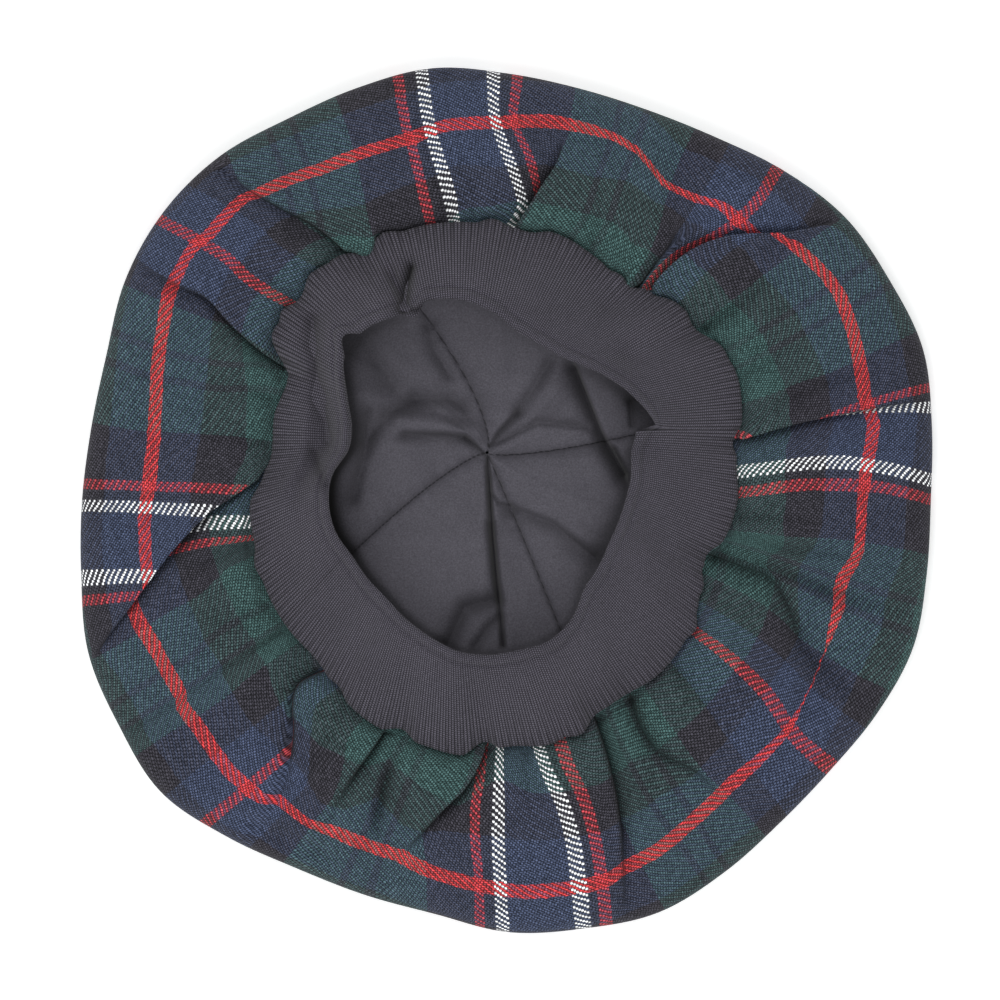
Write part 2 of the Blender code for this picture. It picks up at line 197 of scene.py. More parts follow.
# Distance in plan from the red line to where the black and the green begin
# on its inner side: azimuth, black, green
INNER_BANDS = (
    (0, 12.9, 25.5), (10, 15, 29.3), (15, 12, 26), (20, 12, 25.9), (30, 16, 29.4), (40, 15.4, 28.9),
    (47, 9.5, 23.4), (55, 9.5, 24.4), (62, 6, 22.4), (68, 9.5, 24.9), (75, 15.6, 28.1),
    (82, 14.9, 27.4), (90, 15.5, 28), (98, 14, 28.5), (105, 15, 31), (112, 15.5, 31.5),
    (120, 17.6, 28.6), (128, 13.9, 26.4), (135, 13.9, 25.9), (142, 15.4, 26.9), (150, 17.4, 30.3),
    (157, 17.9, 32.3), (165, 16.4, 31.3), (172, 15.1, 31.3), (180, 14.9, 31), (197, 17.9, 29.9),
    (205, 16.1, 29.6), (212, 17.2, 30.6), (220, 15.9, 31), (228, 17.4, 27.4), (234, 12.2, 23.2),
    (238, 7.8, 25.5), (242, 8, 24.4), (247, 16.6, 30), (251, 10.4, 24.4), (254, 9.8, 20.7),
    (257, 13.9, 22.9), (262, 15.9, 34), (267, 17.4, 36), (272, 17.7, 34.6), (276, 17.4, 32.8),
    (283, 16.9, 32.3), (290, 15.4, 30.3), (297, 14.4, 29.4), (304, 10.7, 24.2), (311, 11.9, 24.8),
    (318, 14.4, 26.4), (325, 13.4, 24.9), (331, 11.4, 24.6), (336, 13.3, 23.8), (341, 15.2, 26.2),
    (346, 14.9, 25.9), (350, 15.9, 24.4), (355, 13.2, 26.2),
)

# Folds that hide cloth; the cloth between two of them is one sheet
SLIPS = (0, 4, 5, 7, 10, 12, 15, 19, 21, 23, 25, 26, 28)
# Where places in the repeat lie, sheet by sheet: place, azimuth at the six
# stations
LINES = (
    ((19.3, 14.9, 15, 14.6, 12.8, 12.2, 16.3), (38.5, 22.5, 22, 21.6, 22, 22.1, 22.4),
     (56, 29.3, 29.4, 29.5, 29.6, 29.8, 30), (65, 33.3, 33.4, 33.5, 33.7, 34, 34.3),
     (82, 40.3, 40.9, 41.4, 41.7, 42, 42.3), (93.5, 43.8, 46, 47.8, 49, 49.3, 49.3)),
    ((110, 50.8, 50.2, 51.6, 55, 56.5, 57), (138, 63.5, 63.2, 63.5, 66, 68, 70)),
    ((138, 63.5, 63.2, 62.2, 60.8, 60.6, 61.4), (155, 70.6, 70.6, 70.8, 70.6, 71, 72),
     (164, 74.3, 74.3, 74.8, 75, 75.4, 77), (181.5, 80.8, 81, 82.5, 84.5, 86, 88)),
    ((200.7, 88.6, 89, 86.4, 84.7, 83.5, 85), (207.8, 92.2, 92, 90.6, 88.4, 87.25, 89.5),
     (232.2, 101.3, 101.75, 101.6, 101.1, 100.85, 100.75),
     (239.3, 104.6, 105.4, 105.35, 105.55, 105.7, 105.8),
     (258.5, 113, 113.5, 114.2, 115.2, 116.2, 117.2)),
    ((330, 141.3, 140, 139.4, 139.6, 139.1, 138.1),),
    ((358, 150.7, 149.8, 149, 147.5, 146.5, 145.5), (375, 156.9, 156.8, 155.7, 153.8, 151, 148.8),
     (384, 160.8, 160.8, 159.9, 158.6, 156.4, 154.4),
     (401.5, 169.4, 169.2, 168.4, 167.4, 166.6, 166),
     (420.7, 177.9, 177.85, 177.8, 177.75, 177.8, 177.8),
     (427.8, 180.9, 181.25, 181.7, 182.3, 182.8, 183.2),
     (452.2, 190, 191.3, 192.6, 193.6, 194, 194.4),
     (459.3, 193.5, 194.5, 195.6, 196.8, 197.4, 198)),
    ((452.2, 190, 187, 185.4, 184.2, 184.3, 184.7),
     (459.3, 193.5, 191, 188.8, 188.3, 188.55, 188.8),
     (478.5, 201, 199.6, 198, 196.5, 193.5, 192.2),
     (496, 207.3, 206.6, 206.1, 204.2, 203.8, 203.4),
     (505, 210.6, 210.3, 210.1, 209.4, 209, 208.6), (522, 214.2, 214.4, 214.7, 214.1, 214, 214),
     (533.5, 220.6, 220.8, 221.2, 221.6, 221.6, 221.4),
     (550, 226.9, 227.9, 228.6, 229.5, 230, 230.5)),
    ((550, 227, 227.8, 228.3, 223.6, 218.9, 219.8),
     (566.5, 233.4, 234, 234.4, 230.6, 226.8, 227.6), (578, 238, 238.8, 239.3, 238, 236, 236.4)),
    ((595, 246.4, 246.6, 246.4, 245.5, 246, 247), (604, 250.3, 250.3, 250.4, 250.5, 250.8, 251.2),
     (621.5, 257.9, 258, 258.2, 259.2, 261.5, 262.5)),
    ((640.7, 266.25, 265.4, 264.3, 263.9, 264.4, 264.5),
     (647.8, 269.5, 268.9, 268.6, 268.55, 268.4, 268.4),
     (672.2, 279.8, 280.25, 280.5, 279.6, 277.8, 276.3),
     (679.3, 283, 284, 284.4, 284.1, 282.9, 282.1)),
    ((698.5, 290.8, 290, 289.4, 289, 289, 289), (716, 297.4, 296.2, 295, 294.6, 294.6, 295),
     (725, 300.6, 300.2, 300, 299.6, 299.8, 300.6)),
    ((742, 307.5, 306.5, 305.6, 305.5, 305.6, 306), (753.5, 311.3, 312, 312.5, 313.5, 314.5, 315),
     (770, 320.5, 320.9, 323.2, 324.5, 325, 325.1),
     (786.5, 327.4, 328, 329.6, 331.2, 331.8, 332.2),
     (798, 333.5, 333.6, 334.5, 337.4, 338.5, 339.5)),
    ((786.5, 327.4, 328, 329.6, 330.1, 331, 331.8), (798, 333.5, 333.6, 334.5, 335, 336, 337),
     (815, 342, 342.3, 343.2, 344.5, 345.3, 346), (824, 346.2, 346.4, 347, 348, 348.8, 349.5),
     (841.5, 352.7, 353.2, 353.2, 352.6, 352.4, 352.2),
     (860.7, 360.1, 362.1, 362.6, 362.9, 362.3, 361.5),
     (867.8, 362.7, 365.4, 367, 367.5, 367.5, 367.6),
     (892.2, 372.2, 373.95, 375, 376.2, 377.5, 379)),
)
# Cloth to visible width between folds; what is left over lies in the folds
EASE = 1.06
FULL_TURN = 2 * HALF_SETT * REPEATS
# Half width of the red line in the cloth, and cloth from its middle to the
# black and to the green, and for each millimetre of plan beyond
RING_HALF = 2.3
INNER_PLACES = (HALF_SETT - 93.5, HALF_SETT - 82)
INNER_RATE = 0.9
# Where less of the red line shows than this, the colours beside it stand
# further off, by this much for each millimetre, and that fades this fast
HIDDEN_HALF = 0.6
HIDDEN_PUSH = 8
HIDDEN_FADE = 8
# Share of the way in at which the red line lies
RING_SHARE = 0.34

# Depth in the tables to depth built, and how fast a fold's sides come up
FOLD_GAIN = 1.6
FOLD_POWER = 1.15
# How far a lapping fold's bottom is set off for each millimetre of lap, and
# the half width of its steep side
LAP_OFFSET = 0.55
STEEP_SIDE = 0.9
# Roundness of a fold's bottom, in square millimetres
BOTTOM_ROUND = 0.09
# The lapping edge: rise to depth, place beyond the lap, half width
CREST = (0.22, 0.4, 2.2)
# How far cloth is dragged sideways by a lap, and its half width
DRAG = (1.5, 1.5)
# Depth of a fold that is half formed, and blend of two sheets where none is
SLIP_DEPTH = 0.5
SLIP_BLEND = 7
# Soft unevenness of the cloth: height, size, seed
SHELL_WANDERS = ((0.35, 26, 5), (0.16, 11, 8))
# Share of the way in over which dents, folds and unevenness come up
DENT_START = 0.05
FOLD_START = 0.12
WANDER_START = 0.25
# Last share of the underside, where folds flatten to a quarter at the band
FLAT_END = 0.05
FLAT_LEFT = 0.25
# Share of light lost in the bottom of a fold, the depth where all of it is
# lost, and the share where two sheets meet and hide this much cloth
FOLD_SHADE = 0.56
SHADE_DEPTH = 4.5
SLIP_SHADE = 0.95
SLIP_HIDDEN = 8

# ---------------------------------------------------------------- band
# The band's section from the seam to the free edge and back below: share of
# the way to the free edge, height
BAND_PROFILE = (
    (0, 30.6), (0.02, 31.6), (0.1, 33.2), (0.28, 36.2), (0.52, 40.4), (0.76, 44.2), (0.9, 46.2),
    (0.97, 46.6), (1, 45.7), (0.95, 44.4), (0.76, 41.2), (0.5, 37), (0.25, 32.8), (0.05, 29.4),
    (0, 29.2),
)
# Rows of the profile on its upper side
BAND_TOP_ROWS = 9
# Rolls and hollows: azimuth, half length, share of the way to the free edge,
# half width as a share, rise
BAND_SHAPES = (
    (116.6, 2.3, 0.57, 0.36, -4), (122.5, 4.5, 0.64, 0.45, 1.8), (111, 4, 0.74, 0.4, 1.6),
    (168, 27, 0.6, 0.22, -4.2), (164, 30, 0.9, 0.16, 3.6), (128, 8, 0.9, 0.3, 2),
    (138, 7, 0.45, 0.3, -2.2), (22, 7, 0.95, 0.34, 2.2), (12, 7, 0.93, 0.34, -2.8),
    (44, 9, 0.66, 0.2, -1.6), (290, 16, 0.93, 0.34, -1.8), (235, 22, 0.85, 0.4, 1.2),
    (60, 10, 0.28, 0.26, -1.4), (82, 12, 0.7, 0.34, 0.9), (200, 12, 0.4, 0.3, -0.9),
    (262, 12, 0.45, 0.34, -1), (315, 14, 0.6, 0.36, -1), (345, 12, 0.7, 0.34, -1.2),
)
# Creases of the band, in the columns of LINING_CREASES
BAND_CREASES = (
    (-64.9, 59.2, -64.1, 46.7, -62.4, 34.2, 3.4, 2.4, 3, 0.42),
    (-62.4, 34.2, -60.3, 25.5, -59.5, 20, 3.6, 2.2, 3, 0.46),
    (-64.5, 16, -62.8, 11.2, -60.4, 5, 2.2, 2, 2.2, 0.42),
    (-32, 76.8, -33.6, 70.7, -34.6, 62.9, 3.4, 1.5, 2.3, 0.96),
    (-34.4, 63.2, -30.5, 62.5, -26.5, 65, 2.4, 1, 1.4, 0.6),
)
# Where the free edge turns in or out: azimuth, push, half width
EDGE_SHAPES = (
    (114.8, -3.2, 5), (136.4, 3.4, 4.5),
)
# Where the free edge folds back on itself: azimuth, push beyond it, how
# fast that fades, push before it, how fast that fades
EDGE_STEP = (16.9, 4.9, 5.5, -2, 5)
# How sharply that step fades towards the seam
STEP_POWER = 6
# Azimuth where the strip is joined to itself, depth and half width of the
# groove there, and number of its knit columns
BAND_JOIN = 208.4
JOIN_GROOVE = (0.5, 0.5)
WALES = 500
# Gap between the band and the tartan's edge at their seam
SEAM_GAP = 0.2
# Share of light lost for each millimetre that a hollow rises, and at most
HOLLOW_SHADE = (-0.04, 0.5)
# Creases fade over this last share of the way to the free edge, but not
# to nothing
CREASE_END = (0.06, 0.3)
# The hem: distance from the free edge of its groove and its roll, height,
# half width
HEM = ((4, -0.9, 0.6), (2, 0.45, 1.1))
BAND_WANDERS = ((0.3, 24, 21), (0.22, 9, 22))
# How the tartan's folds pull at the seam: share of their depth, half width,
# how fast it fades
PULL = (0.34, 2.8, 0.22)

# ---------------------------------------------------------------- lining
# Where the four seams meet, and how far from it the quarters start
PINCH = (-7.2, 15.7)
PINCH_RADIUS = 0.3
# How far inside the band's seam the lining's edge lies
LINING_INSET = 4.9
# How far the edge rises past the tartan's tuck to the band, and the shares
# of the way out where that starts and over which it does
LINING_RISE = 6.2
RISE_START = 0.955
RISE_SPAN = 0.045
# Shade under the band's free edge: azimuth about EDGE_CENTRE, share of light
# lost, how far in it reaches
EDGE_SHADES = (
    (0, 0.6, 2.5), (20, 0.35, 2), (28, 0.75, 3), (40, 0.45, 2.5), (60, 0.12, 1.5), (100, 0.1, 1.5),
    (118, 0.25, 2), (134, 0.6, 3), (150, 0.75, 3.2), (172, 0.85, 2), (180, 0.95, 2.2),
    (192, 0.98, 2.8), (205, 0.95, 2.6), (215, 0.78, 1.8), (235, 0.64, 1.6), (255, 0.52, 1.5),
    (270, 0.38, 1.4), (285, 0.34, 1.4), (300, 0.35, 1.6), (318, 0.45, 3.5), (328, 0.6, 4.5),
    (340, 0.6, 3), (350, 0.62, 2.6),
)
# How sharply that shade ends, and how far it reaches to the figure above
EDGE_SHADE_POWER = 2.2
EDGE_SHADE_GAIN = 1.2
# Height at the pinch and at the edge, how fast it rises between, and least
# height anywhere
LINING_LOW = 5
LINING_HIGH = 25.2
LINING_CURVE = 1.5
LINING_LEAST = 2.7
LINING_SEAMS = (21.7, 117.5, 207, 291.9)
# How far each seam bows to its left as it runs out
LINING_BOWS = (-2.8, -5.6, -3.6, 0.4)
# How near its start a seam's bow is greatest, and how far each quarter puffs
BOW_POWER = 0.62
LINING_PUFFS = (5, 4.5, 5, 4)
# Groove of a seam and the puckers beside it: depth, half width
SEAM_GROOVE = (1.9, 1)
SEAM_PUCKER = (0.28, 2.8)
LINING_WANDERS = ((0.45, 18, 31), (0.16, 8, 33))
# Distance from the pinch over which seams, creases and unevenness come up
SEAM_START = 6.0
CREASE_RUN = 7.0
WANDER_RUN = 10.0
# Shares of the way out over which folds and creases fade at each end
FADE_START = 0.12
FADE_END = 0.2
# Soft folds of the lining: start x, y, end x, y, height, half width
LINING_FOLDS = (
    (4, -5, 34, -16, 1.8, 4), (-8, 38, 12, 36, 1.6, 6), (-36, 26.5, -10, 22, 2.4, 3.4),
    (-30, 4, -44, -2, 1.6, 6),
)
# Creases: three points, depth, how fast each side comes back up to its left
# and to its right, share of light lost
LINING_CREASES = (
    (-7, 14.6, -5.3, -12.8, -1.7, -48.5, 4.6, 0.8, 0.8, 0.8),
    (-5.9, -8, -4.7, -24, -3.4, -34, 2, 1.8, 1.4, 0.85),
    (-34.9, 22, -22, 21.7, -14.5, 21, 2.4, 0.9, 2.6, 0.46),
    (-14.5, 21, -10.2, 17.5, -7.6, 15.2, 2.8, 0.8, 1.8, 0.7),
    (-48.2, 18.9, -40.2, 29, -31.4, 33.7, 3.6, 3.6, 4, 0.42),
    (-31.4, 33.7, -20.1, 33.7, -14.5, 30.9, 2.4, 3.2, 3.4, 0.42),
    (-46.8, 28.7, -47.5, 16.8, -51.8, 0.6, 3.4, 2.6, 3.2, 0.42),
    (-46, 50, -42, 43, -38, 38, 2.4, 4, 5, 0.34),
    (-20, -48, -14.5, -36, -5, -33.4, 4.6, 3.4, 3, 0.52),
    (-11, -49, -7, -43, -3.5, -39.5, 2.6, 2.2, 2.2, 0.4),
    (22.2, 44, 30.7, 22.7, 38.5, 8.7, 6.5, 0.5, 3.4, 0.8),
    (35.5, 17, 37.5, 13, 39, 9, 2, 1, 2.6, 0.75), (40.6, 33, 40.9, 29, 41.2, 25, 2, 1.2, 1.2, 0.5),
    (-6.2, 18.2, -3.2, 22.4, 3.1, 29.4, 2.6, 0.8, 1.8, 0.56),
    (3.1, 29.4, 9, 38, 13.5, 46, 2.6, 2.2, 2.4, 0.34),
    (-4.5, 18.9, 9.8, 26, 26.2, 24.4, 1.9, 2, 1.4, 0.36),
    (1.8, -3, 14.8, -8, 28.5, -19, 3.4, 1.6, 3.8, 0.38),
    (-27, 58, -24.5, 50, -20, 42, 2.6, 2.6, 2.6, 0.3),
    (-5.7, 2, -3.2, -0.8, 0.6, -1.8, 1.6, 0.7, 0.9, 0.5),
)

# ---------------------------------------------------------------- density, crown
# Columns and rows of each mesh
COLUMNS = 640
CROWN_ROWS = 22
SHELL_ROWS = 112
BAND_COLUMNS = 1150
BAND_ROWS = 82
GORE_COLUMNS = 170
GORE_ROWS = 170
# Extra columns at a fold to one elsewhere, and half width in degrees
CROWDING = (3.4, 1.3)
FINE_STEPS = 14400
# The crown's gathers: number, height and half width, and the radius where
# they start and over how much they rise inwards
CROWN_PLEATS = 36
PLEAT = (0.7, 0.9)
PLEAT_FADE = (110.0, 60.0)
# Its open middle: radius, rise and how fast that fades
CROWN_MIDDLE = 2.2
MIDDLE_RISE = (2.0, 7.0)
# Rows of the shell that still belong to the gathered crown
GATHERED_ROWS = 22
# How closely rows lie between the rows of each profile
SHELL_CLOSENESS = (1, 1, 1.2, 2.6, 3, 3, 3, 3, 4, 5, 5, 8, 8, 8, 8, 8, 7, 3)
BAND_CLOSENESS = (1, 3, 7, 9, 9, 6, 4, 3, 3, 3, 4, 4, 3, 1, 1)
# Row of the profile where the rim turns up into the underside
RIM_ROW = 7


# ---------------------------------------------------------------- curves
def smooth(places, values, at):
    """Smooth curve through uneven rows, level beyond both ends."""
    places = np.asarray(places, float)
    values = np.asarray(values, float)
    slope = np.gradient(values, places)
    at = np.clip(at, places[0], places[-1])
    low = np.clip(np.searchsorted(places, at, side="right") - 1, 0, len(places) - 2)
    step = places[low + 1] - places[low]
    p = (at - places[low]) / step
    return ((1 + 2 * p) * (1 - p) ** 2 * values[low]
            + p * (1 - p) ** 2 * step * slope[low]
            + p * p * (3 - 2 * p) * values[low + 1]
            + p * p * (p - 1) * step * slope[low + 1])


def periodic(values, azimuth):
    """Smooth closed curve through evenly spaced values."""
    table = np.asarray(values, float)
    place = np.asarray(azimuth, float) / 360.0 * len(table)
    index = np.floor(place).astype(int)
    part = place - index
    a, b, c, d = (table[(index + k) % len(table)] for k in (-1, 0, 1, 2))
    line = 2 * b + (c - a) * part
    bend = (2 * a - 5 * b + 4 * c - d) * part ** 2
    twist = (3 * b - a - 3 * c + d) * part ** 3
    return 0.5 * (line + bend + twist)


def ring_table(rows, column, azimuth):
    """A column of a table whose rows start with an azimuth, straight between."""
    return np.interp(azimuth % 360, [row[0] for row in rows],
                     [row[column] for row in rows], period=360)


def spread(closeness, count):
    """Places between the rows of a profile."""
    reach = np.concatenate([[0], np.cumsum(closeness)])
    return np.interp(np.linspace(0, reach[-1], count), reach, np.arange(len(reach)))


def fall(distance, reach, power=2):
    return np.exp(-(distance / reach) ** power)


def turn(azimuth, centre):
    """Degrees from the centre, between -180 and 180."""
    return (np.asarray(azimuth) - centre + 180.0) % 360.0 - 180.0


def hump(distance):
    """1 at the middle, 0 from a distance of 1 on."""
    near = np.clip(1.0 - np.asarray(distance) ** 2, 0.0, 1.0)
    return near * near


def ease_in(value):
    value = np.clip(value, 0.0, 1.0)
    return value * value * (3 - 2 * value)


def sway(azimuth):
    """Slow waves of every layer round the hat."""
    level = np.zeros(np.shape(azimuth))
    for count, crest, amount in SWAY:
        level += amount * np.cos(np.radians(count * (azimuth - crest)))
    return level


def pushed(radius, azimuth, pushes):
    for centre, push, width in pushes:
        radius = radius + push * hump(turn(azimuth, centre) / width)
    return radius


def rim_radius(azimuth):
    return periodic([row[0] for row in SECTIONS], azimuth)


def seam_radius(azimuth):
    return pushed(periodic([row[1] for row in SECTIONS], azimuth), azimuth, SCALLOPS)


def edge_radius(azimuth):
    return periodic([row[2] for row in SECTIONS], azimuth)


def around(azimuth, radius, centre=(0.0, 0.0)):
    angle = np.radians(azimuth)
    return np.stack([centre[0] + radius * np.cos(angle),
                     centre[1] + radius * np.sin(angle)], axis=-1)


def wander(x, y, size, seed):
    """Smooth random height, about -1 to 1, with features of that size."""
    rng = np.random.default_rng(seed)
    total = np.zeros(np.broadcast(x, y).shape)
    for _ in range(14):
        angle = rng.uniform(0, 2 * np.pi)
        rate = 2 * np.pi / (size * rng.uniform(0.7, 1.9))
        phase = rng.uniform(0, 2 * np.pi)
        total += np.sin(rate * (x * np.cos(angle) + y * np.sin(angle)) + phase)
    return total / 4.0


# ---------------------------------------------------------------- shell
def fold_centres(share):
    """Azimuth of every fold at one share of the way in."""
    return np.array([float(smooth(STATIONS, row[:FIRST_DEPTH], share)) for row in FOLDS])


NOMINAL = fold_centres(0.5)


def wrapped(values, period):
    values = np.asarray(values, float)
    return np.concatenate([values - period, values, values + period, values + 2 * period])


def place_columns(nominal, share):
    """Azimuths of columns that follow the folds, at one share."""
    return np.interp(nominal, wrapped(NOMINAL, 360), wrapped(fold_centres(share), 360))


def shell_columns():
    """Columns that crowd together at the folds, from the joining seam round."""
    start = NOMINAL[JOINING_SEAM]
    fine = start + np.linspace(0, 360, FINE_STEPS + 1)
    crowd = np.ones_like(fine)
    more, width = CROWDING
    for centre in NOMINAL:
        crowd += more * fall(turn(fine, centre), width)
    total = np.concatenate([[0], np.cumsum(0.5 * (crowd[1:] + crowd[:-1]))])
    return np.interp(np.linspace(0, total[-1], COLUMNS + 1), total, fine)


def sheet_places(azimuth, share, radius):
    """Cloth place along one row, sheet by sheet, and the steps at the folds."""
    rate = np.radians(EASE * radius)
    fields = []
    for rows in LINES:
        cloth = np.array([row[0] for row in rows])
        at = np.array([float(smooth(STATIONS, row[1:], share)) for row in rows])
        middle = at.mean()
        turns = np.round((azimuth - middle) / 360.0)
        local = azimuth - 360.0 * turns
        field = np.interp(local, at, cloth)
        field = field + rate * (np.minimum(local - at[0], 0) + np.maximum(local - at[-1], 0))
        fields.append(field + FULL_TURN * turns)
    return fields


def join_sheets(fields, edges):
    """One row of cloth places, each sheet's own blended across the folds, and
    the shade where cloth is hidden between two sheets."""
    near = np.full(len(fields[0]), 1e9)
    u = np.zeros(len(near))
    dark = np.zeros(len(near))
    for order, away, passed, sharp in edges:
        before = fields[order - 1] if order else fields[-1]
        value = before * (1 - passed) + fields[order] * passed
        hidden = np.minimum(1.0, np.abs(fields[order] - before) / SLIP_HIDDEN)
        closer = np.abs(away) < near
        u = np.where(closer, value, u)
        dark = np.where(closer, sharp * hidden * 4 * passed * (1 - passed), dark)
        near = np.where(closer, np.abs(away), near)
    return u, dark


def shell_stations():
    """Places in the section, close together on the underside."""
    at = spread(SHELL_CLOSENESS, SHELL_ROWS)
    rows = np.arange(len(SHELL_PROFILE))
    inset, share, height = (smooth(rows, values, at) for values in zip(*SHELL_PROFILE))
    return inset, np.clip(share, 0, 1), np.maximum(height, 0.0), at


def build_shell_surface():
    """Points, cloth places, radii and shade of the tartan's outer surface."""
    column = shell_columns()
    inset, share, height, at = shell_stations()
    upper = at >= RIM_ROW
    way = np.where(upper, (inset + share * TYPICAL_RUN) / TYPICAL_WIDTH, 0.0)
    count = len(column)
    points, cloth = np.zeros((2, SHELL_ROWS, count, 3))
    radii, plain, shade = np.zeros((3, SHELL_ROWS, count))
    for i in range(SHELL_ROWS):
        azimuth = place_columns(column, way[i])
        rim = rim_radius(azimuth)
        run = rim - UNDERSIDE_START - seam_radius(azimuth)
        radius = rim - inset[i] - share[i] * run
        level = height[i] + sway(azimuth) * min(1.0, height[i] / SEAM_HEIGHT)
        radii[i] = radius
        plain[i] = level
        shift = np.zeros(count)
        edge = min(1.0, (1.0 - share[i]) / FLAT_END + FLAT_LEFT)
        fade = ease_in(way[i] / FOLD_START) * edge
        edges = []
        for k, row in enumerate(FOLDS):
            away = np.radians(turn(azimuth, smooth(STATIONS, row[:FIRST_DEPTH], way[i]))) * radius
            depth = max(0.0, float(smooth(STATIONS, row[FIRST_DEPTH:LAP], way[i]))) * fade
            top = max(row[FIRST_DEPTH:LAP])
            lap = row[LAP] * min(1.0, depth / top)
            side = np.sign(lap)
            offset = LAP_OFFSET * abs(lap) + 0.001
            reach = row[WIDTH]
            valley = away - side * offset
            if side:
                reach = np.where(valley * side < 0, STEEP_SIDE, reach)
                rise, beyond, width = CREST
                level += rise * depth * fall(away + side * (offset + beyond), width)
                drag, width = DRAG
                shift += lap * (fall(away + side * offset, width) - fall(valley, width)) * drag
            bottom = np.sqrt(valley ** 2 + BOTTOM_ROUND)
            level -= FOLD_GAIN * depth * fall(bottom, reach, FOLD_POWER)
            dark = FOLD_SHADE * min(1.0, depth / SHADE_DEPTH) * fall(valley, 0.35 * reach + 0.5)
            shade[i] = np.maximum(shade[i], dark)
            if k in SLIPS:
                order = SLIPS.index(k)
                flat = np.exp(-depth / SLIP_DEPTH)
                span = 0.3 + SLIP_BLEND * flat
                hidden = side * offset * (1.0 - flat)
                passed = ease_in((away - hidden + span) / (2 * span))
                sharp = SLIP_SHADE * (1.0 - flat) ** 4
                edges.append((order, away, passed, sharp))
        for centre, length, spot, width, amount in DENTS:
            along = hump(turn(azimuth, centre) / length)
            across = hump((way[i] - spot) / width)
            level -= amount * along * across * ease_in(way[i] / DENT_START)
        for centre, width, over, rise in TUFTS:
            near = np.clip(1.0 - (turn(azimuth, centre) / width) ** 2, 0.0, 1.0) ** TUFT_ROUND
            start, over_share = TUFT_SWELL
            close = ease_in((share[i] - start) / over_share)
            start, over_share, under = TUFT_TURN
            last = 1.0 - under * ease_in((share[i] - start) / over_share)
            radius -= over * near * close * last
            level += rise * near * close * last
        x, y = around(azimuth, radius).T
        soft = ease_in(way[i] / WANDER_START) * edge
        for rise, size, seed in SHELL_WANDERS:
            level += soft * rise * wander(x, y, size, seed)
        azimuth = azimuth + np.degrees(shift / radius)
        u, dark = join_sheets(sheet_places(azimuth, way[i], radius), edges)
        shade[i] = np.maximum(shade[i], dark)
        points[i, :, :2] = around(azimuth, radius)
        points[i, :, 2] = np.maximum(level, 0.0)
        cloth[i, :, 0] = u
    # Distance along the section from the red ring
    step = np.hypot(np.diff(radii, axis=0), np.diff(plain, axis=0))
    length = np.vstack([np.zeros(count), np.cumsum(step, axis=0)])
    ring_azimuth = place_columns(column, RING_SHARE)
    ring, half = (ring_table(RING, k, ring_azimuth) for k in (1, 2))
    black, green = (ring_table(INNER_BANDS, k, ring_azimuth) for k in (1, 2))
    first = int(np.argmax(upper))
    for j in range(count):
        v = np.interp(-ring[j], -radii[first:, j], length[first:, j]) - length[:, j]
        plan = ring[j] - radii[:, j]
        inner = np.interp(plan, (0.0, half[j], black[j], green[j]),
                          (0.0, RING_HALF, *INNER_PLACES))
        tuck = HIDDEN_PUSH * max(0.0, HIDDEN_HALF - half[j])
        inner += INNER_RATE * np.maximum(plan - green[j], 0.0) \
            + tuck * np.exp(-plan / HIDDEN_FADE)
        outer = v + (RING_HALF - half[j]) * np.clip(v / half[j], 0.0, 1.0)
        outer += tuck * np.exp(-np.maximum(v, 0.0) / HIDDEN_FADE)
        within = (np.arange(len(v)) >= first) & (plan > 0)
        cloth[:, j, 1] = v
        cloth[:, j, 2] = np.where(within, -inner, outer)
    return column, points, cloth, radii, shade


def crown_rows(column, points, cloth, radii):
    """Rows from the gathered middle of the crown out to the shell's first row."""
    pleat = 360.0 / CROWN_PLEATS
    middle = column[0] + (np.floor((column - column[0]) / pleat - 1e-9) + 0.5) * pleat
    middle = np.clip(middle, column[0] + pleat / 2, column[-1] - pleat / 2)
    azimuth = place_columns(column, 0.0)
    first = points[0]
    outer = np.hypot(first[:, 0], first[:, 1])
    rows, places = [], []
    for part in np.linspace(0.0, 1.0, CROWN_ROWS, endpoint=False) ** 0.85:
        radius = CROWN_MIDDLE + (outer - CROWN_MIDDLE) * part
        plan = around(azimuth, radius)
        away = np.abs(np.abs(column - middle) - pleat / 2) * np.pi / 180 * radius
        high, width = PLEAT
        start, over = PLEAT_FADE
        rise = high * np.exp(-away / width) * ease_in((start - radius) / over)
        high, width = MIDDLE_RISE
        rise += high * np.exp(-radius / width)
        rows.append(np.column_stack([plan, rise]))
        places.append(np.column_stack([cloth[0, :, 0], cloth[0, :, 1] + outer - radius,
                                       cloth[0, :, 2] + outer - radius]))
    rows = np.concatenate([np.array(rows), points])
    places = np.concatenate([np.array(places), cloth])
    # Between the crown's pleats the cloth keeps its own width
    every = np.hypot(rows[:, :, 0], rows[:, :, 1])
    start = CROWN_ROWS + GATHERED_ROWS
    edge_u = places[start, :, 0].copy()
    edge_r = every[start].copy()
    base = np.interp(middle, column, edge_u)
    for i in range(start):
        narrow = np.clip(every[i] / edge_r, 0, 1)
        places[i, :, 0] = base + (edge_u - base) * narrow
    return rows, places


